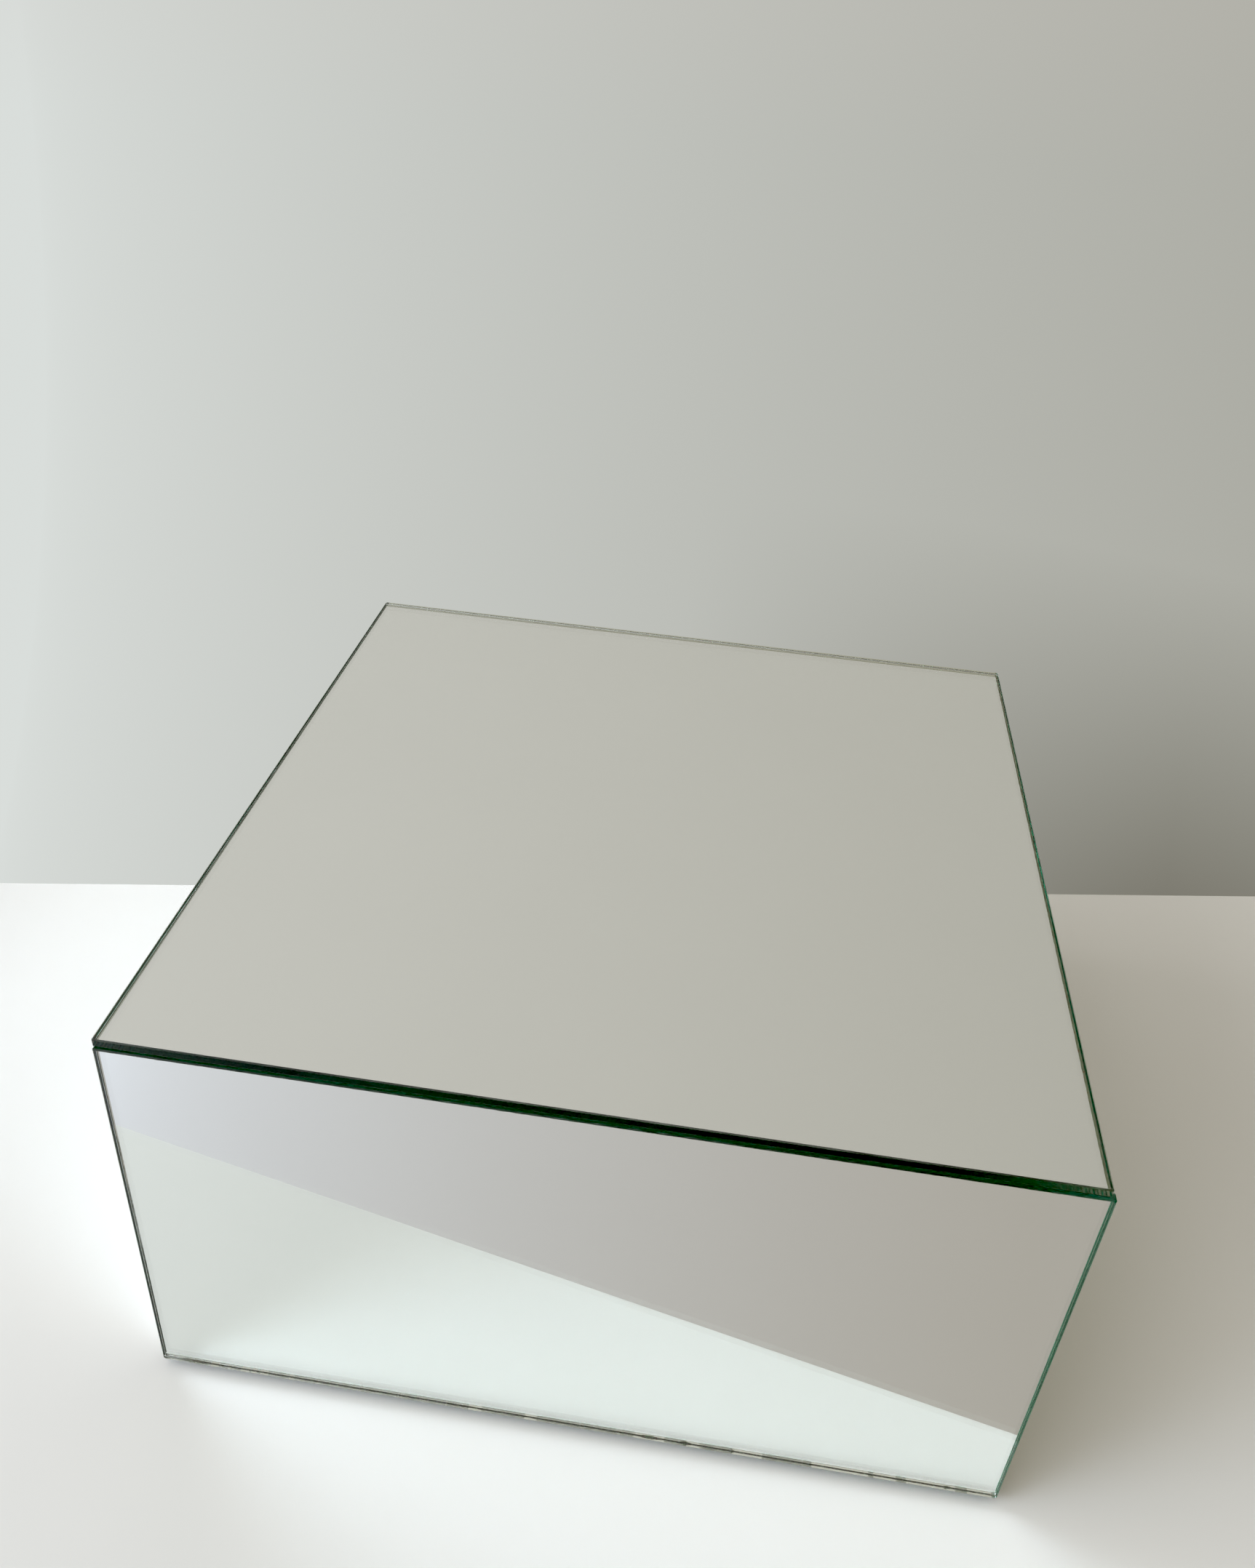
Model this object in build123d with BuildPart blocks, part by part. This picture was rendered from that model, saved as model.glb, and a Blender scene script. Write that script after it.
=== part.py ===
from build123d import *

import os

# A mirrored display plinth: a low box of second-surface mirrors bonded onto a fibreboard carcass.
# Millimetres. The origin is the middle of the footprint, on the surface that the plinth stands on.
# +Z is up, the front faces -Y and the right-hand end faces +X.

# ---- Overall size ----
WIDTH = 400.0
DEPTH = 400.0
HEIGHT = 220.0

# ---- Mirrors ----
GLASS_T = 4.0
SILVER_T = 0.1
ADHESIVE_T = 1.9
ARRIS = 0.5
SILVER_INSET = 0.6
FRONT_OVERHANG = 2.0
TOP_SETBACK = 0.8
JOINT_GAP = 0.4

# ---- Carcass ----
BOARD_T = 12.0
BASE_T = 9.0
BLOCK_SIDE = 30.0
BLOCK_CHAMFER = 6.0

# ---- Feet ----
PAD_T = 5.0
PAD_D = 28.0
PAD_PITCH = 270.0
FLOOR_GAP = 4.0

# ---- Adhesive beads ----
BEAD_W = 10.0
BEAD_COUNT = 5
BEAD_PITCH = 70.0
BEAD_END_MARGIN = 16.0

# ---- Countersunk wood screws ----
SCREW_L = 30.0
SCREW_D = 4.0
SCREW_HEAD_D = 8.0
SCREW_TIP_L = 5.0
RECESS_SPAN = 4.2
RECESS_W = 1.2
RECESS_DEPTH = 1.6
COUNTERSINK_ANGLE = 90.0
FACE_SCREW_RISE = 100.0
END_SCREW_RISE = 40.0

# ---- Worked out from the sizes above ----
BODY_W = WIDTH - FRONT_OVERHANG
BODY_X = -FRONT_OVERHANG / 2
STACK = GLASS_T + SILVER_T + ADHESIVE_T

TOP_D = DEPTH - TOP_SETBACK
SIDE_H = HEIGHT - GLASS_T - SILVER_T - JOINT_GAP - FLOOR_GAP
SIDE_Z = FLOOR_GAP + SIDE_H / 2
END_W = DEPTH - 2 * (GLASS_T + JOINT_GAP)

CARCASS_W = BODY_W - 2 * STACK
CARCASS_D = DEPTH - 2 * STACK
CARCASS_TOP = HEIGHT - STACK
BOARD_H = CARCASS_TOP - BOARD_T - PAD_T
BOARD_Z = PAD_T + BOARD_H / 2
INNER_W = CARCASS_W - 2 * BOARD_T
INNER_D = CARCASS_D - 2 * BOARD_T

BLOCK_X = (INNER_W - BLOCK_SIDE) / 2
BLOCK_Y = (INNER_D - BLOCK_SIDE) / 2
BLOCK_Z = PAD_T + BASE_T
BLOCK_H = CARCASS_TOP - BOARD_T - BLOCK_Z

SCREW_HEAD_H = (SCREW_HEAD_D - SCREW_D) / 2

FLOOR_PLAN = Plane(origin=(BODY_X, 0, 0))


def outward_plane(origin, x_dir, z_dir):
    """A plane on one face of the plinth, whose z points out of the plinth."""
    return Plane(origin=origin, x_dir=x_dir, z_dir=z_dir)


def upright_planes(width, depth, centre_x, z):
    """The outward planes of a box's four upright faces, centred at height z, by name."""
    return {
        "front": outward_plane((centre_x, -depth / 2, z), (1, 0, 0), (0, -1, 0)),
        "back": outward_plane((centre_x, depth / 2, z), (-1, 0, 0), (0, 1, 0)),
        "left": outward_plane((centre_x - width / 2, 0, z), (0, -1, 0), (-1, 0, 0)),
        "right": outward_plane((centre_x + width / 2, 0, z), (0, 1, 0), (1, 0, 0)),
    }


# The outer surface of each mirror. The front mirror is centred on its own, wider, width.
mirror_planes = upright_planes(BODY_W, DEPTH, BODY_X, SIDE_Z)
mirror_planes["front"] = outward_plane((0, -DEPTH / 2, SIDE_Z), (1, 0, 0), (0, -1, 0))
mirror_planes["top"] = outward_plane((BODY_X, TOP_SETBACK / 2, HEIGHT), (1, 0, 0), (0, 0, 1))
MIRROR_SIZES = {
    "top": (BODY_W, TOP_D),
    "front": (WIDTH, SIDE_H),
    "back": (BODY_W, SIDE_H),
    "left": (END_W, SIDE_H),
    "right": (END_W, SIDE_H),
}

# The outer surface of each carcass board.
board_planes = upright_planes(CARCASS_W, CARCASS_D, BODY_X, BOARD_Z)
board_planes["top"] = outward_plane((BODY_X, 0, CARCASS_TOP), (1, 0, 0), (0, 0, 1))
board_planes["base"] = outward_plane((BODY_X, 0, PAD_T), (1, 0, 0), (0, 0, -1))
BOARD_SIZES = {
    "top": (CARCASS_W, CARCASS_D, BOARD_T),
    "front": (CARCASS_W, BOARD_H, BOARD_T),
    "back": (CARCASS_W, BOARD_H, BOARD_T),
    "left": (INNER_D, BOARD_H, BOARD_T),
    "right": (INNER_D, BOARD_H, BOARD_T),
    "base": (INNER_W, INNER_D, BASE_T),
}

# Four screws go through each board into the corner blocks. Those of the faces and of the ends are at
# different heights, so they pass each other inside a block.
SCREW_GRIDS = {
    "top": (2 * BLOCK_X, 2 * BLOCK_Y),
    "front": (2 * BLOCK_X, FACE_SCREW_RISE),
    "back": (2 * BLOCK_X, FACE_SCREW_RISE),
    "left": (2 * BLOCK_Y, END_SCREW_RISE),
    "right": (2 * BLOCK_Y, END_SCREW_RISE),
    "base": (2 * BLOCK_X, 2 * BLOCK_Y),
}

CORNERS = {
    "front_left": (-1, -1),
    "front_right": (1, -1),
    "back_left": (-1, 1),
    "back_right": (1, 1),
}


def glass_panel(name):
    """A glass plate with every edge arrised."""
    with BuildPart() as glass:
        with BuildSketch(mirror_planes[name]):
            Rectangle(*MIRROR_SIZES[name])
        extrude(amount=-GLASS_T)
        chamfer(glass.edges(), length=ARRIS)
    return glass.part


def silver_film(name):
    """The silver and its backing paint, on the back of a glass plate, short of the plate's arris."""
    width, height = MIRROR_SIZES[name]
    with BuildPart() as silver:
        with BuildSketch(mirror_planes[name].offset(-GLASS_T)):
            Rectangle(width - 2 * SILVER_INSET, height - 2 * SILVER_INSET)
        extrude(amount=-SILVER_T)
    return silver.part


def adhesive_beads(name):
    """The parallel silicone beads, pressed flat between a board and the back of its mirror."""
    bead_l = BOARD_SIZES[name][1] - 2 * BEAD_END_MARGIN
    with BuildPart() as beads:
        with BuildSketch(board_planes[name]):
            with GridLocations(BEAD_PITCH, 0, BEAD_COUNT, 1):
                SlotOverall(bead_l, BEAD_W, rotation=90)
        extrude(amount=ADHESIVE_T)
    return beads.part


def carcass_board(name):
    """A fibreboard panel with its four countersunk screw holes."""
    width, height, thickness = BOARD_SIZES[name]
    with BuildPart() as board:
        with BuildSketch(board_planes[name]):
            Rectangle(width, height)
        extrude(amount=-thickness)
        with Locations(board_planes[name]):
            with GridLocations(*SCREW_GRIDS[name], 2, 2):
                CounterSinkHole(SCREW_D / 2, SCREW_HEAD_D / 2, thickness, COUNTERSINK_ANGLE)
    return board.part


def corner_block(side_x, side_y):
    """A post in one inner corner, bevelled towards the hollow, with the pilot holes of its six screws."""
    with BuildPart() as block:
        with BuildSketch(FLOOR_PLAN.offset(BLOCK_Z)):
            with Locations((side_x * BLOCK_X, side_y * BLOCK_Y)):
                Rectangle(BLOCK_SIDE, BLOCK_SIDE)
        extrude(amount=BLOCK_H)
        upright = block.edges().filter_by(Axis.Z)
        chamfer(upright.sort_by(Axis((0, 0, 0), (side_x, side_y, 0)))[0], length=BLOCK_CHAMFER)
        for name, grid in SCREW_GRIDS.items():
            with Locations(board_planes[name]):
                with GridLocations(*grid, 2, 2):
                    Cylinder(SCREW_D / 2, 2 * SCREW_L, mode=Mode.SUBTRACT)
    return block.part


def wood_screw():
    """A countersunk screw pointing down, with the middle of its head's flat face at the origin."""
    with BuildPart() as screw:
        with BuildSketch(Plane.XZ):
            with BuildLine():
                Polyline(
                    (0, 0),
                    (SCREW_HEAD_D / 2, 0),
                    (SCREW_D / 2, -SCREW_HEAD_H),
                    (SCREW_D / 2, SCREW_TIP_L - SCREW_L),
                    (0, -SCREW_L),
                    close=True,
                )
            make_face()
        revolve(axis=Axis.Z)
        with BuildSketch(Plane.XY):
            Rectangle(RECESS_SPAN, RECESS_W)
            Rectangle(RECESS_W, RECESS_SPAN)
        extrude(amount=-RECESS_DEPTH, mode=Mode.SUBTRACT)
    return screw.part


def screw_group(names):
    """The screws of the named boards, each with its head flush with the board's outer surface."""
    screw = wood_screw()
    with BuildPart() as group:
        for name in names:
            with Locations(board_planes[name]):
                with GridLocations(*SCREW_GRIDS[name], 2, 2):
                    add(screw)
    return group.part


def top_joint_seal():
    """The thin ring of silicone between the top mirror and the upper edges of the four upright mirrors."""
    ring_w = BODY_W - 2 * SILVER_INSET
    ring_d = TOP_D - 2 * SILVER_INSET
    with BuildPart() as seal:
        with BuildSketch(FLOOR_PLAN.offset(FLOOR_GAP + SIDE_H)):
            with Locations((0, TOP_SETBACK / 2)):
                Rectangle(ring_w, ring_d)
            Rectangle(BODY_W - 2 * GLASS_T, DEPTH - 2 * GLASS_T, mode=Mode.SUBTRACT)
        extrude(amount=JOINT_GAP)
    return seal.part


def corner_joint_seal(side_x, side_y):
    """The silicone in one upright corner: a film over the end mirror's edge and a bead behind it."""
    film_t = JOINT_GAP - SILVER_T
    silver_back = GLASS_T + SILVER_T
    film_l = silver_back - SILVER_INSET
    film_x = BODY_W / 2 - SILVER_INSET - film_l / 2
    film_y = DEPTH / 2 - silver_back - film_t / 2
    bead_x = BODY_W / 2 - silver_back - ADHESIVE_T / 2
    bead_y = DEPTH / 2 - silver_back - ADHESIVE_T / 2
    with BuildPart() as seal:
        with BuildSketch(FLOOR_PLAN.offset(FLOOR_GAP)):
            with Locations((side_x * film_x, side_y * film_y)):
                Rectangle(film_l, film_t)
            with Locations((side_x * bead_x, side_y * bead_y)):
                Rectangle(ADHESIVE_T, ADHESIVE_T)
        extrude(amount=SIDE_H)
    return seal.part


def felt_pad(side_x, side_y):
    """A round felt pad stuck under the base board."""
    with BuildPart() as pad:
        with BuildSketch(FLOOR_PLAN):
            with Locations((side_x * PAD_PITCH / 2, side_y * PAD_PITCH / 2)):
                Circle(PAD_D / 2)
        extrude(amount=PAD_T)
    return pad.part


pieces = {}
for face in MIRROR_SIZES:
    pieces[f"{face}_glass"] = glass_panel(face)
    pieces[f"{face}_silvering"] = silver_film(face)
    pieces[f"{face}_adhesive"] = adhesive_beads(face)
for face in BOARD_SIZES:
    pieces[f"{face}_board"] = carcass_board(face)
for corner, (side_x, side_y) in CORNERS.items():
    pieces[f"corner_block_{corner}"] = corner_block(side_x, side_y)
    pieces[f"corner_seal_{corner}"] = corner_joint_seal(side_x, side_y)
    pieces[f"felt_pad_{corner}"] = felt_pad(side_x, side_y)
pieces["top_seal"] = top_joint_seal()
pieces["carcass_screws"] = screw_group([face for face in BOARD_SIZES if face != "base"])
pieces["base_screws"] = screw_group(["base"])

os.makedirs("parts", exist_ok=True)
for name, piece in pieces.items():
    piece.label = name
    export_step(piece, f"parts/{name}.step")
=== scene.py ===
import math

import bmesh
import bpy
from mathutils import Matrix, Vector, noise


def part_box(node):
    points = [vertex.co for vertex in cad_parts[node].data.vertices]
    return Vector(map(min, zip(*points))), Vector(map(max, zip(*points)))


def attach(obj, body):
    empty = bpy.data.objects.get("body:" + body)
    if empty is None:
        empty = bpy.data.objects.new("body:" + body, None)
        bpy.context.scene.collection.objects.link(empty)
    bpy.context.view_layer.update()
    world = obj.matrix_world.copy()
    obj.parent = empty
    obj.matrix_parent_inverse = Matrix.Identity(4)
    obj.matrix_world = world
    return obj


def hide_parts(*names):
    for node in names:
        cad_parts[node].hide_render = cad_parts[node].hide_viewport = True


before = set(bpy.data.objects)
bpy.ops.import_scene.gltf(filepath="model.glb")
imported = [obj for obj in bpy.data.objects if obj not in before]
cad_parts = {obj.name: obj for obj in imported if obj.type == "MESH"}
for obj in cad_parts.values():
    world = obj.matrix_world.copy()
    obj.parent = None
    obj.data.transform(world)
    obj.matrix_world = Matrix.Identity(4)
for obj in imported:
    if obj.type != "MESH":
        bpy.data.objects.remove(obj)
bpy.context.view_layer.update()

# Looks of the mirrored display plinth. Metres, in the CAD model's frame: +Z up, the front towards -Y,
# which is the side that the camera sees.
MM = 0.001

# ---- Driving sizes ----
STEP = 0.8 * MM                # spacing of the points along a worked edge
ARRIS = 0.5 * MM               # ground bevel along every glass edge
FRONT_TOP_ARRIS = 0.65 * MM    # the coarser bevel along the front mirror's top edge
CORNER_BLUNT = 0.15 * MM       # how far the sharp corners are rubbed down
SILVER_BITE = 0.05 * MM        # how far the silver sits inside the glass's back, so that the two touch
SILVER_CORNER = 0.2 * MM       # the cut across the silver's corners
MARGIN = 0.25 * MM             # painted margin round the silver
MARGIN_RAGGED = 0.25 * MM      # unevenness of that margin
MARGIN_GRAIN = 4 * MM          # the size of its wanderings
FINE_RAGGED = 0.10 * MM        # unevenness of a bevel's width
FINE_GRAIN = 20 * MM
COARSE_RAGGED = 0.30 * MM      # the same for the coarser bevel
COARSE_GRAIN = 3.5 * MM
CHIP_GRAIN = 1.2 * MM          # the size of the teeth along a chip
WEAR_GRAIN = 6 * MM            # the length of the duller and brighter stretches of a worn edge
SEED_STEP = 7.3                # keeps the noise of one plate apart from the next one's,
SIDE_STEP = 3.1                # and that of one side of a plate apart from the next side's
SILVER_SEED = 20               # what a silver sheet's seed adds to its plate's number
COARSE_SEED = 50               # and what the coarser bevel's adds

# The painted margins that are wider or narrower than the rest, by face and side.
MARGINS = {
    ("front", "top"): 2.2 * MM,
    ("front", "right"): 0.02 * MM,
    ("front", "bottom"): 0.08 * MM,
    ("top", "right"): 0.9 * MM,
}
# How far each face's outer arris is frosted, from 0 to 2. The top's was ground, the others are only
# rubbed down.
FROSTING = {"top": 1.0, "front": 0.35, "back": 0.35, "left": 0.35, "right": 0.35}
CUT_FROSTING = 0.2             # the cut edge between a plate's two arrises
INNER_FROSTING = 0.15          # the arris at the back
COARSE_FROSTING = 2.0          # the front mirror's right-hand edge, left as it came off the wheel
TOP_EDGE_FROSTING = 1.25       # the front mirror's top edge, which was ground
# The front mirror's bottom edge is worn dull, but for these polished runs, in millimetres from its
# left-hand end.
POLISHED_RUNS = (
    (23, 27), (38, 42), (44, 46), (48, 52), (62, 64), (151, 157), (178, 184), (231, 245),
    (256, 262), (277, 292), (315, 341), (344, 354), (359, 381), (387, 398),
)
WORN_FROSTING = (0.75, 1.3)    # the least and the most on the worn stretches
# Chips in the silver along that edge: the middle and half the length of each, and how far it reaches up.
EDGE_CHIPS = (
    (14 * MM, 9.0 * MM, 0.9 * MM),
    (238 * MM, 5.0 * MM, 1.1 * MM),
    (255 * MM, 2.5 * MM, 1.4 * MM),
    (277 * MM, 0.8 * MM, 1.6 * MM),
    (377 * MM, 1.2 * MM, 1.2 * MM),
)

# Outward normal of each clad face, and the direction of its width seen from outside.
FACES = {
    "top": ((0, 0, 1), (1, 0, 0)),
    "front": ((0, -1, 0), (1, 0, 0)),
    "back": ((0, 1, 0), (-1, 0, 0)),
    "left": ((-1, 0, 0), (0, -1, 0)),
    "right": ((1, 0, 0), (0, 1, 0)),
}
SIDES = ("bottom", "right", "top", "left")


# ---------------------------------------------------------------- materials
class Graph:
    """The node tree of a material or a world, with short calls that add a node and join it to others."""

    def __init__(self, owner):
        owner.use_nodes = True
        self.owner = owner
        self.tree = owner.node_tree
        self.tree.nodes.clear()

    def add(self, kind, settings=None, **inputs):
        """Adds a node. settings are its own properties; each input is a value or another node's output.

        An input goes by its name, or by i and its number where several share a name."""
        node = self.tree.nodes.new(kind)
        for key, value in (settings or {}).items():
            setattr(node, key, value)
        for key, value in inputs.items():
            socket = node.inputs[int(key[1:])] if key[0] == "i" and key[1:].isdigit() else node.inputs[key]
            self.put(socket, value)
        return node

    def put(self, socket, value):
        if isinstance(value, bpy.types.NodeSocket):
            self.tree.links.new(value, socket)
        else:
            socket.default_value = value

    def place(self):
        return self.add("ShaderNodeTexCoord").outputs["Object"]

    def noise(self, scale, detail=4.0, roughness=0.5, vector=None):
        node = self.add("ShaderNodeTexNoise", Scale=scale, Detail=detail, Roughness=roughness)
        self.put(node.inputs["Vector"], vector or self.place())
        return node.outputs["Fac"]

    def stretch(self, scales):
        """Object coordinates multiplied by scales, for grain that runs one way."""
        node = self.add("ShaderNodeMapping", {"vector_type": "POINT"}, Vector=self.place(), Scale=scales)
        return node.outputs["Vector"]

    def span(self, value, low, high, to_low=0.0, to_high=1.0):
        node = self.add("ShaderNodeMapRange", i0=value, i1=low, i2=high, i3=to_low, i4=to_high)
        return node.outputs[0]

    def math(self, operation, a, b=0.0):
        return self.add("ShaderNodeMath", {"operation": operation}, i0=a, i1=b).outputs[0]

    def mix(self, factor, a, b):
        node = self.add("ShaderNodeMix", {"data_type": "RGBA"})
        self.put(node.inputs[0], factor)
        self.put(node.inputs[6], a)
        self.put(node.inputs[7], b)
        return node.outputs[2]

    def bump(self, height, distance):
        node = self.add("ShaderNodeBump", Height=height, Distance=distance, Strength=1.0)
        return node.outputs["Normal"]

    def finish(self, shader, volume=None):
        """Joins the shader to a material's output, and gives the material."""
        out = self.add("ShaderNodeOutputMaterial")
        self.tree.links.new(shader.outputs[0], out.inputs["Surface"])
        if volume is not None:
            self.tree.links.new(volume.outputs[0], out.inputs["Volume"])
        return self.owner


def mirror_glass():
    """Green float glass: clear and polished on its faces and frosted where an edge is ground. The green tint
    on ground edges is painted light: it stands in for the deep green of light that has run a long way inside
    the glass.
    """
    g = Graph(bpy.data.materials.new("mirror_glass"))
    ground = g.add("ShaderNodeAttribute", {"attribute_name": "ground"}).outputs["Fac"]
    grind = g.noise(2500.0, 2.0)
    dust = g.span(g.noise(900.0, 2.0, 0.6), 0.80, 0.84)
    rough = g.span(ground, 0.0, 2.0, 0.0, 0.60)
    shader = g.add(
        "ShaderNodeBsdfPrincipled",
        **{
            # Painted light: the green mixed in where an edge is ground stands in for the deep green of light
            # that has run a long way inside the glass.
            "Base Color": g.mix(g.span(ground, 0.7, 2.0), (1.0, 1.0, 1.0, 1.0), (0.07, 0.36, 0.20, 1.0)),
            "Roughness": g.math("ADD", rough, g.math("MULTIPLY", dust, 0.3)),
            "IOR": 1.52,
            "Transmission Weight": 1.0,
            "Normal": g.bump(g.math("MULTIPLY", grind, ground), 0.05 * MM),
        },
    )
    volume = g.add("ShaderNodeVolumeAbsorption", Color=(0.02, 0.52, 0.38, 1.0), Density=9.5)
    return g.finish(shader, volume)


def silver():
    """Chemical silver seen through the glass, with a faint unevenness."""
    g = Graph(bpy.data.materials.new("silver"))
    cloud = g.noise(14.0, 3.0)
    shader = g.add(
        "ShaderNodeBsdfPrincipled",
        **{
            "Base Color": g.mix(cloud, (0.945, 0.945, 0.935, 1.0), (0.965, 0.965, 0.955, 1.0)),
            "Metallic": 1.0,
            "Roughness": g.span(cloud, 0.3, 0.7, 0.0, 0.012),
        },
    )
    return g.finish(shader)


def backing_paint():
    """The grey-brown protective paint on the back of the silver."""
    g = Graph(bpy.data.materials.new("backing_paint"))
    flecks = g.noise(1800.0, 3.0)
    shader = g.add(
        "ShaderNodeBsdfPrincipled",
        **{
            "Base Color": g.mix(flecks, (0.20, 0.17, 0.14, 1.0), (0.31, 0.28, 0.24, 1.0)),
            "Roughness": g.span(g.noise(60.0), 0.3, 0.7, 0.45, 0.7),
            "Normal": g.bump(flecks, 0.03 * MM),
        },
    )
    return g.finish(shader)


def edge_paint():
    """The dull olive sealing paint round the silver, red-brown where the copper under it shows."""
    g = Graph(bpy.data.materials.new("edge_paint"))
    copper = g.span(g.noise(700.0, 3.0), 0.60, 0.68)
    tone = g.mix(g.noise(260.0), (0.15, 0.17, 0.11, 1.0), (0.30, 0.30, 0.20, 1.0))
    shader = g.add(
        "ShaderNodeBsdfPrincipled",
        **{
            "Base Color": g.mix(copper, tone, (0.22, 0.12, 0.07, 1.0)),
            "Roughness": g.span(g.noise(90.0), 0.3, 0.7, 0.5, 0.7),
        },
    )
    return g.finish(shader)


def clear_silicone():
    """Translucent neutral-cure silicone, a little cloudy."""
    g = Graph(bpy.data.materials.new("clear_silicone"))
    cloud = g.noise(220.0, 4.0)
    shader = g.add(
        "ShaderNodeBsdfPrincipled",
        **{
            "Base Color": g.mix(cloud, (0.05, 0.065, 0.055, 1.0), (0.13, 0.15, 0.135, 1.0)),
            "Roughness": g.span(cloud, 0.3, 0.7, 0.25, 0.45),
            "IOR": 1.41,
            "Normal": g.bump(g.noise(700.0), 0.08 * MM),
        },
    )
    return g.finish(shader)


def fibreboard():
    """Bare medium-density fibreboard: pressed brown fibres with darker flecks."""
    g = Graph(bpy.data.materials.new("fibreboard"))
    fibres = g.noise(1.0, 5.0, 0.65, g.stretch((900.0, 620.0, 1300.0)))
    clouds = g.noise(35.0, 3.0)
    tone = g.mix(fibres, (0.27, 0.17, 0.095, 1.0), (0.52, 0.37, 0.23, 1.0))
    shader = g.add(
        "ShaderNodeBsdfPrincipled",
        **{
            "Base Color": g.mix(g.span(clouds, 0.35, 0.75, 0.0, 0.35), tone, (0.40, 0.27, 0.16, 1.0)),
            "Roughness": g.span(fibres, 0.3, 0.7, 0.75, 0.92),
            "Normal": g.bump(fibres, 0.12 * MM),
        },
    )
    return g.finish(shader)


def screw_steel():
    """Zinc-plated, yellow passivated steel."""
    g = Graph(bpy.data.materials.new("screw_steel"))
    tint = g.noise(420.0, 3.0)
    shader = g.add(
        "ShaderNodeBsdfPrincipled",
        **{
            "Base Color": g.mix(tint, (0.74, 0.60, 0.30, 1.0), (0.80, 0.74, 0.55, 1.0)),
            "Metallic": 1.0,
            "Roughness": g.span(tint, 0.3, 0.7, 0.24, 0.42),
            "Normal": g.bump(g.noise(2600.0), 0.02 * MM),
        },
    )
    return g.finish(shader)


def felt():
    """Dark grey pressed felt, with a fuzz of short fibres."""
    g = Graph(bpy.data.materials.new("felt"))
    fuzz = g.noise(2400.0, 6.0, 0.7)
    shader = g.add(
        "ShaderNodeBsdfPrincipled",
        **{
            "Base Color": g.mix(fuzz, (0.028, 0.027, 0.026, 1.0), (0.12, 0.115, 0.11, 1.0)),
            "Roughness": 0.95,
            "Sheen Weight": 0.4,
            "Normal": g.bump(fuzz, 0.25 * MM),
        },
    )
    return g.finish(shader)


# ---------------------------------------------------------------- plates
def face_axes(name):
    """The matrix whose x, y and z are a face's width, height and outward directions."""
    normal, across = (Vector(v) for v in FACES[name])
    up = normal.cross(across)
    return Matrix((across, up, normal)).transposed()


def plate_frame(node, name):
    """The world matrix of the middle of a plate's outer face, and its width, height and thickness."""
    low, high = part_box(node)
    axes = face_axes(name)
    size = axes.transposed() @ (high - low)
    width, height, thickness = (abs(v) for v in size)
    centre = (low + high) / 2 + axes.col[2] * thickness / 2
    return Matrix.Translation(centre) @ axes.to_4x4(), width, height, thickness


def side_lengths(width, height):
    """The length of each side of a rectangle."""
    return dict(zip(SIDES, (width, height, width, height)))


def edge_steps(width, height):
    """The points round a rectangle in order: each one's side, and how far along it, from 0 to 1."""
    steps = []
    for side, length in side_lengths(width, height).items():
        count = max(2, round(length / STEP))
        steps += [(side, i / count) for i in range(count + 1)]
    return steps


def outline(width, height, inset, cut):
    """Points round a rectangle with its corners cut off. inset(side, s) moves a side's points inwards."""
    points = []
    lengths = side_lengths(width, height)
    for side, s in edge_steps(width, height):
        number = SIDES.index(side)
        before, after = SIDES[number - 1], SIDES[(number + 1) % 4]
        length, across = lengths[side], lengths[before]
        start = -length / 2 + inset(before, 1.0) + cut
        end = length / 2 - inset(after, 0.0) - cut
        place = Vector((start + s * (end - start), -across / 2 + inset(side, s)))
        points.append(Matrix.Rotation(number * math.pi / 2, 2) @ place)
    return points


def no_inset(side, s):
    """The inset of an outline that lies on the rectangle itself."""
    return 0.0


def wander(place):
    """Noise of four octaves, between 0 and 1."""
    return 0.5 + 0.5 * noise.fractal(place, 0.6, 2.0, 4)


def ragged(seed, amount, scale):
    """A function of side, s and the side's length that wanders between 0 and amount."""

    def value(side, s, length):
        place = Vector((s * length / scale, seed * SEED_STEP, SIDES.index(side) * SIDE_STEP))
        return amount * wander(place)

    return value


def skin(mesh, loops, ground):
    """Fills a closed solid from loops of points: a cap, a strip between each two loops, and another cap.

    The outer face comes first. ground holds, for each strip, the frosting of its faces."""
    count = len(loops[0])
    vertices = [p for loop in loops for p in loop]
    faces, frost = [list(range(count))], [0.0]
    for level, values in enumerate(ground):
        a, b = level * count, (level + 1) * count
        for i in range(count):
            j = (i + 1) % count
            faces.append([a + j, a + i, b + i, b + j])
            frost.append(values[i])
    last = (len(loops) - 1) * count
    faces.append([last + i for i in reversed(range(count))])
    frost.append(0.0)
    mesh.from_pydata(vertices, [], faces)
    mesh.attributes.new("ground", "FLOAT", "FACE").data.foreach_set("value", frost)
    mesh.validate()
    mesh.update()


def add_piece(name, mesh, matrix, materials, node):
    """Adds a piece that stands for a CAD node and rides on the plinth's one body."""
    mesh.transform(matrix)
    piece = bpy.data.objects.new(name, mesh)
    bpy.context.scene.collection.objects.link(piece)
    for material in materials:
        mesh.materials.append(material)
    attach(piece, "root")
    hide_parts(node)


def edge_frosting(name, side, x, usual):
    """How far a cut edge or its inner arris is frosted, x metres along one side of a plate."""
    if (name, side) == ("front", "right"):
        return COARSE_FROSTING
    if (name, side) == ("front", "top"):
        return TOP_EDGE_FROSTING
    if (name, side) != ("front", "bottom"):
        return usual
    if any(start * MM < x < end * MM for start, end in POLISHED_RUNS):
        return usual
    low, high = WORN_FROSTING
    return low + (high - low) * wander(Vector((x / WEAR_GRAIN, 0.0, 5.0)))


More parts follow.
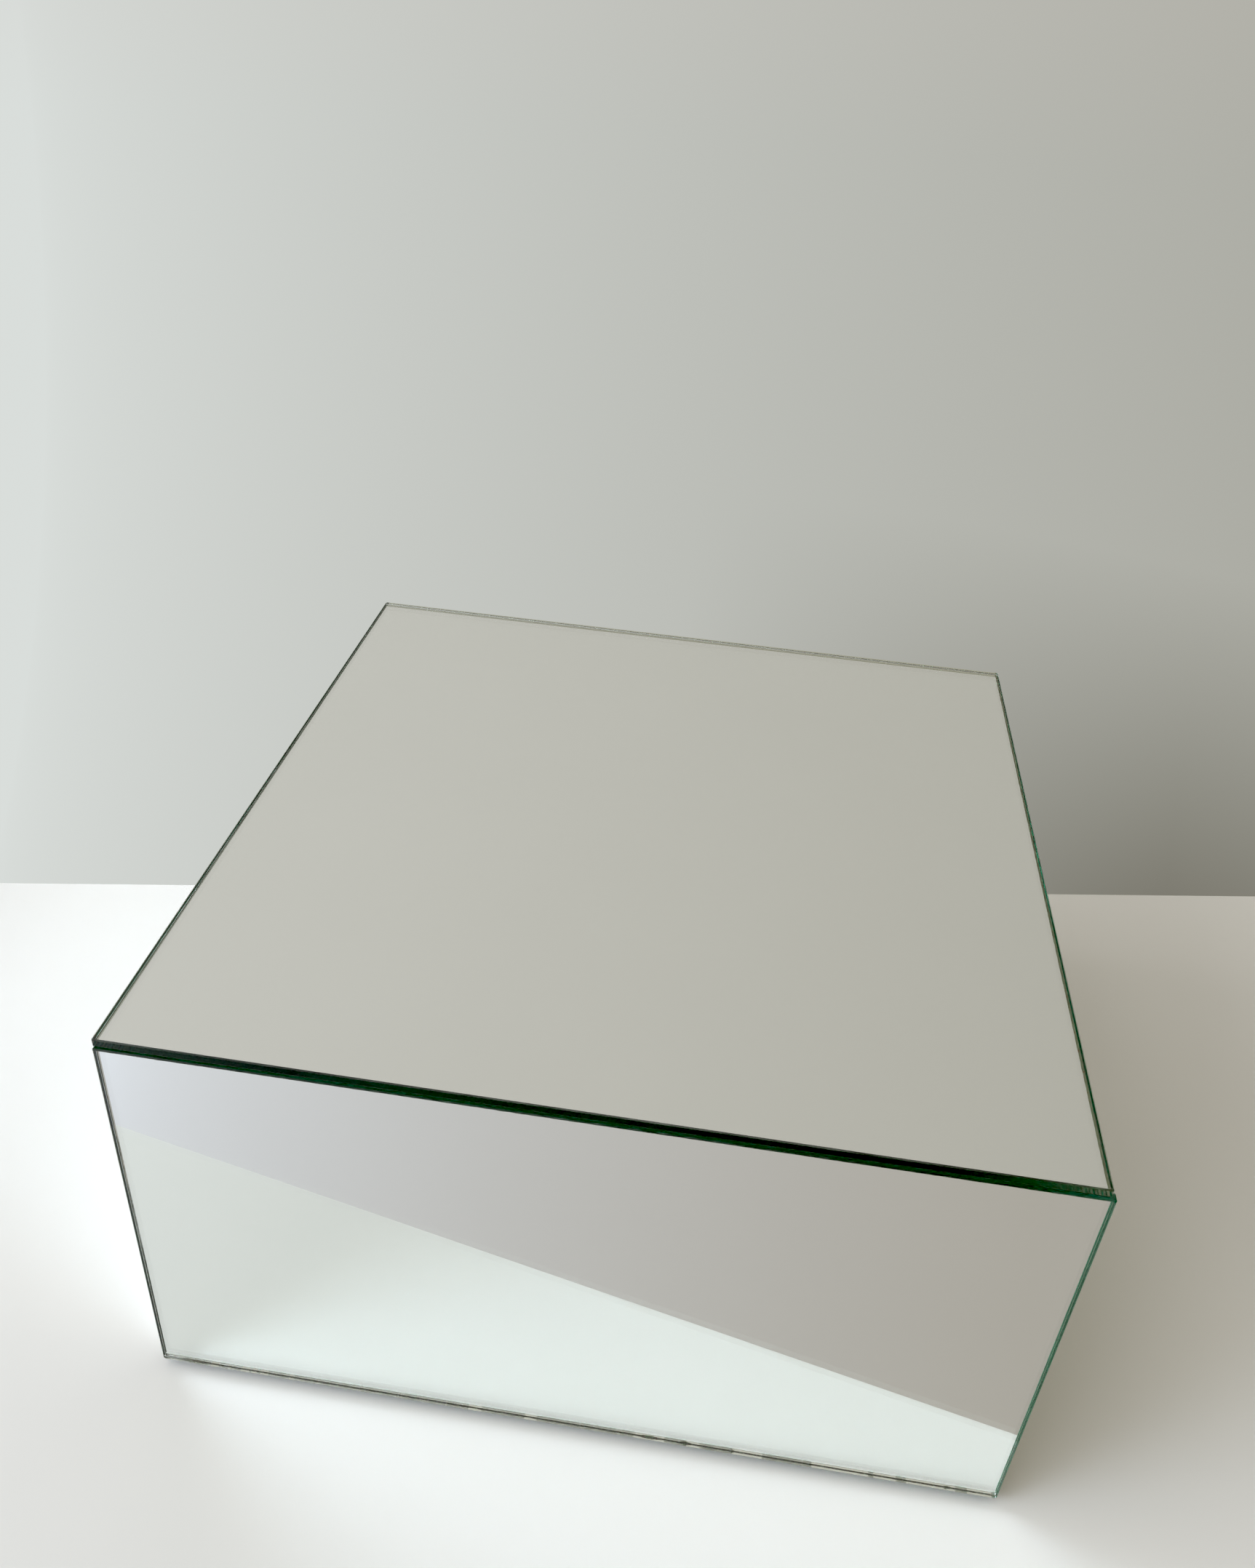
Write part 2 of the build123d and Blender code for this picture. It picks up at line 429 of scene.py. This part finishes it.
def glass_plate(name, material, seed):
    """A plate of glass with rubbed arrises. The front plate's top arris is wider and more ragged."""
    matrix, width, height, thickness = plate_frame(f"{name}_glass", name)
    fine = ragged(seed, FINE_RAGGED, FINE_GRAIN)
    coarse = ragged(seed + COARSE_SEED, COARSE_RAGGED, COARSE_GRAIN)

    def outer_inset(side, s):
        if name == "front" and side == "top":
            return FRONT_TOP_ARRIS + coarse(side, s, width) - COARSE_RAGGED / 2
        return ARRIS + fine(side, s, width) - FINE_RAGGED / 2

    def inner_inset(side, s):
        return ARRIS + fine(side, 1 - s, width) - FINE_RAGGED / 2

    def loop(inset, cut, depth):
        return [(p.x, p.y, -depth) for p in outline(width, height, inset, cut)]

    loops = [
        loop(outer_inset, ARRIS + CORNER_BLUNT, 0.0),
        loop(no_inset, ARRIS, ARRIS),
        loop(no_inset, ARRIS, thickness - ARRIS),
        loop(inner_inset, ARRIS + CORNER_BLUNT, thickness),
    ]
    steps = edge_steps(width, height)
    lengths = side_lengths(width, height)
    ground = [
        [edge_frosting(name, side, s * lengths[side], usual) for side, s in steps]
        for usual in (FROSTING[name], CUT_FROSTING, INNER_FROSTING)
    ]
    mesh = bpy.data.meshes.new(f"{name}_plate")
    skin(mesh, loops, ground)
    add_piece(f"{name}_mirror_plate", mesh, matrix, [material], f"{name}_glass")


def silver_sheet(name, materials, seed):
    """The silver behind a plate, let a little into the glass's back, with paint behind it and round it."""
    matrix, width, height, thickness = plate_frame(f"{name}_silvering", name)
    edge = ragged(seed, MARGIN_RAGGED, MARGIN_GRAIN)

    def margin(side, s):
        base = MARGINS.get((name, side), MARGIN)
        depth = base + edge(side, s, width) * min(1.0, base / MARGIN)
        if (name, side) == ("front", "bottom"):
            teeth = 0.7 + 0.6 * noise.noise(Vector((s * width / CHIP_GRAIN, 3.0, 0.0)))
            for middle, half, reach in EDGE_CHIPS:
                depth += reach * teeth * max(0.0, 1.0 - ((s * width - middle) / half) ** 2)
        return depth

    sheet = outline(width, height, no_inset, SILVER_CORNER)
    silvered = outline(width, height, margin, SILVER_CORNER)
    loops = [
        [(p.x, p.y, SILVER_BITE) for p in silvered],
        [(p.x, p.y, SILVER_BITE) for p in sheet],
        [(p.x, p.y, -thickness) for p in sheet],
    ]
    mesh = bpy.data.meshes.new(f"{name}_silver")
    plain = [0.0] * len(sheet)
    skin(mesh, loops, (plain, plain))
    add_piece(f"{name}_silver_sheet", mesh, matrix, materials, f"{name}_silvering")
    # The first cap is silver, the two strips are edge paint and the last cap is backing paint.
    count = len(sheet)
    for polygon in mesh.polygons:
        if polygon.index == 0:
            polygon.material_index = 0
        elif polygon.index <= 2 * count:
            polygon.material_index = 1
        else:
            polygon.material_index = 2


# ---------------------------------------------------------------- stage, light and camera
TABLE_TURN = math.radians(10.95)   # the table's edges against the plinth's front
TABLE_FRONT = 0.269                # from the plinth's middle to the table's front edge
TABLE_BACK = 0.210
TABLE_LENGTH = 5.0
TABLE_T = 0.03
TABLE_BEVEL = 1.5 * MM
BLACK_LEVEL = 0.045                # the camera's darkest tone
LIGHT_BOUNCES = 64                 # the light runs to and fro inside the edges of the glass many times
WINDOW_WIDTH = math.radians(35)    # how wide each far window looks from the plinth
# Each far window's direction from the plinth, and its strength.
WINDOWS = (
    ((-6.4, -1.5, 3.8), 0.64),
    ((-6.4, -6.0, 3.8), 0.74),
    ((-2.0, 0.0, 6.0), 0.34),
)
NEAR_WINDOW_PLACE = (-1.5, -1.0, 0.9)
NEAR_WINDOW_SIZE = 1.0
NEAR_WINDOW_POWER = 11.8
NEAR_WINDOW_COLOUR = (0.86, 1.0, 1.22)

CAMERA_PLACE = (0.0380, -0.5337, 0.6041)
CAMERA_TURN = (-5.619, 32.395, 4.002)    # degrees to the right, down, and rolled anticlockwise
SENSOR_WIDTH = 36.0
LENS = 29.328
CAMERA_SHIFT = -0.0284


def table():
    """A pale table top, longer than the view, whose front edge shows in the front mirror."""
    mesh = bpy.data.meshes.new("table")
    shape = bmesh.new()
    bmesh.ops.create_cube(shape, size=1.0)
    bmesh.ops.scale(shape, vec=(TABLE_LENGTH, TABLE_FRONT + TABLE_BACK, TABLE_T), verts=shape.verts)
    bmesh.ops.bevel(shape, geom=shape.edges[:], offset=TABLE_BEVEL, segments=3, affect="EDGES")
    bmesh.ops.translate(shape, vec=(0, (TABLE_BACK - TABLE_FRONT) / 2, -TABLE_T / 2), verts=shape.verts)
    bmesh.ops.rotate(shape, cent=(0, 0, 0), matrix=Matrix.Rotation(TABLE_TURN, 3, "Z"), verts=shape.verts)
    shape.to_mesh(mesh)
    shape.free()
    obj = bpy.data.objects.new("table", mesh)
    bpy.context.scene.collection.objects.link(obj)
    g = Graph(bpy.data.materials.new("table_laminate"))
    shader = g.add(
        "ShaderNodeBsdfPrincipled",
        **{
            "Base Color": g.mix(g.noise(3.0, 2.0), (0.83, 0.83, 0.82, 1.0), (0.86, 0.86, 0.855, 1.0)),
            "Roughness": 0.5,
            "Normal": g.bump(g.noise(900.0, 3.0), 0.02 * MM),
        },
    )
    mesh.materials.append(g.finish(shader))


def surroundings():
    """A soft pale studio: lighter on the left, a shaded wall behind, a darker room in front, a grey floor."""
    world = bpy.data.worlds.new("studio")
    bpy.context.scene.world = world
    g = Graph(world)
    direction = g.add("ShaderNodeTexCoord").outputs["Generated"]
    x, y, z = g.add("ShaderNodeSeparateXYZ", i0=direction).outputs
    near_left = g.math("POWER", g.span(x, -0.50, 0.35), 0.6)
    low_wall = g.mix(near_left, (0.71, 0.74, 0.72, 1.0), (0.44, 0.44, 0.40, 1.0))
    high_wall = g.mix(g.span(x, -0.5, 0.5), (0.67, 0.645, 0.61, 1.0), (0.475, 0.445, 0.395, 1.0))
    shade = g.math("MULTIPLY", g.span(x, -0.05, 0.32), g.span(z, -0.36, -0.58))
    wall = g.mix(g.span(z, -0.12, 0.3), low_wall, high_wall)
    wall = g.mix(g.math("MULTIPLY", shade, 0.8), wall, (0.17, 0.16, 0.13, 1.0))
    room = g.mix(g.span(x, -0.7, 0.7), (0.46, 0.46, 0.42, 1.0), (0.40, 0.36, 0.26, 1.0))
    glare = g.math("POWER", g.span(x, -0.42, 0.25), 0.35)
    floor = g.mix(glare, (0.95, 0.97, 1.06, 1.0), (0.49, 0.45, 0.41, 1.0))
    level = g.mix(g.span(y, -0.25, 0.25), room, wall)
    lower = g.mix(g.span(y, 0.1, -0.3), wall, floor)
    colour = g.mix(g.span(z, -0.30, -0.60), level, lower)
    ceiling = g.mix(g.span(y, -0.30, -0.10), (0.62, 0.60, 0.54, 1.0), (0.24, 0.215, 0.135, 1.0))
    colour = g.mix(g.span(z, 0.78, 0.90), colour, ceiling)
    colour = g.mix(g.span(x, 0.40, 1.0), colour, (0.22, 0.20, 0.165, 1.0))
    background = g.add("ShaderNodeBackground", Color=colour, Strength=1.0)
    out = g.add("ShaderNodeOutputWorld")
    g.tree.links.new(background.outputs[0], out.inputs["Surface"])


def window_light(number, place, strength):
    """Soft daylight from a large window, so far off that it falls evenly on the table."""
    light = bpy.data.lights.new(f"window_{number}", "SUN")
    light.angle = WINDOW_WIDTH
    light.energy = strength
    obj = bpy.data.objects.new(f"window_{number}", light)
    bpy.context.scene.collection.objects.link(obj)
    obj.rotation_euler = Vector(place).to_track_quat("Z", "Y").to_euler()


def near_window():
    """Cool daylight from a window close by on the left."""
    light = bpy.data.lights.new("near_window", "AREA")
    light.shape = "DISK"
    light.size = NEAR_WINDOW_SIZE
    light.energy = NEAR_WINDOW_POWER
    light.color = NEAR_WINDOW_COLOUR
    obj = bpy.data.objects.new("near_window", light)
    bpy.context.scene.collection.objects.link(obj)
    obj.location = NEAR_WINDOW_PLACE
    obj.rotation_euler = obj.location.to_track_quat("Z", "Y").to_euler()


def camera():
    """A hand-held view from above the front edge, tilted a little."""
    yaw, pitch, roll = (math.radians(v) for v in CAMERA_TURN)
    reach = math.cos(pitch)
    forward = Vector((math.sin(yaw) * reach, math.cos(yaw) * reach, -math.sin(pitch)))
    level = Vector((math.cos(yaw), -math.sin(yaw), 0))
    upright = level.cross(forward)
    right = level * math.cos(roll) + upright * math.sin(roll)
    up = upright * math.cos(roll) - level * math.sin(roll)
    data = bpy.data.cameras.new("camera")
    data.sensor_width = SENSOR_WIDTH
    data.lens = LENS
    data.shift_y = CAMERA_SHIFT
    data.clip_start = 0.01
    obj = bpy.data.objects.new("camera", data)
    bpy.context.scene.collection.objects.link(obj)
    turn = Matrix((right, up, -forward)).transposed().to_4x4()
    obj.matrix_world = Matrix.Translation(CAMERA_PLACE) @ turn
    bpy.context.scene.camera = obj


# ---------------------------------------------------------------- assembly
glass = mirror_glass()
coats = [silver(), edge_paint(), backing_paint()]
for number, face in enumerate(FACES):
    glass_plate(face, glass, number)
    silver_sheet(face, coats, number + SILVER_SEED)

# The finish of every other CAD node, by a word in its name.
silicone = clear_silicone()
board = fibreboard()
FINISHES = {
    "adhesive": silicone,
    "seal": silicone,
    "board": board,
    "block": board,
    "screws": screw_steel(),
    "pad": felt(),
}
for node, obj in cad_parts.items():
    for word, material in FINISHES.items():
        if word in node:
            obj.data.materials.clear()
            obj.data.materials.append(material)

table()
surroundings()
for number, (place, strength) in enumerate(WINDOWS):
    window_light(number, place, strength)
near_window()
camera()

scene = bpy.context.scene
scene.cycles.max_bounces = LIGHT_BOUNCES
scene.cycles.transmission_bounces = LIGHT_BOUNCES
scene.cycles.glossy_bounces = LIGHT_BOUNCES
scene.cycles.diffuse_bounces = 4
scene.cycles.blur_glossy = 0.0    # keeps the light that the mirrors throw on the table
scene.view_settings.view_transform = "Standard"
scene.view_settings.use_curve_mapping = True
scene.view_settings.curve_mapping.black_level = (BLACK_LEVEL, BLACK_LEVEL, BLACK_LEVEL)
scene.view_settings.curve_mapping.update()
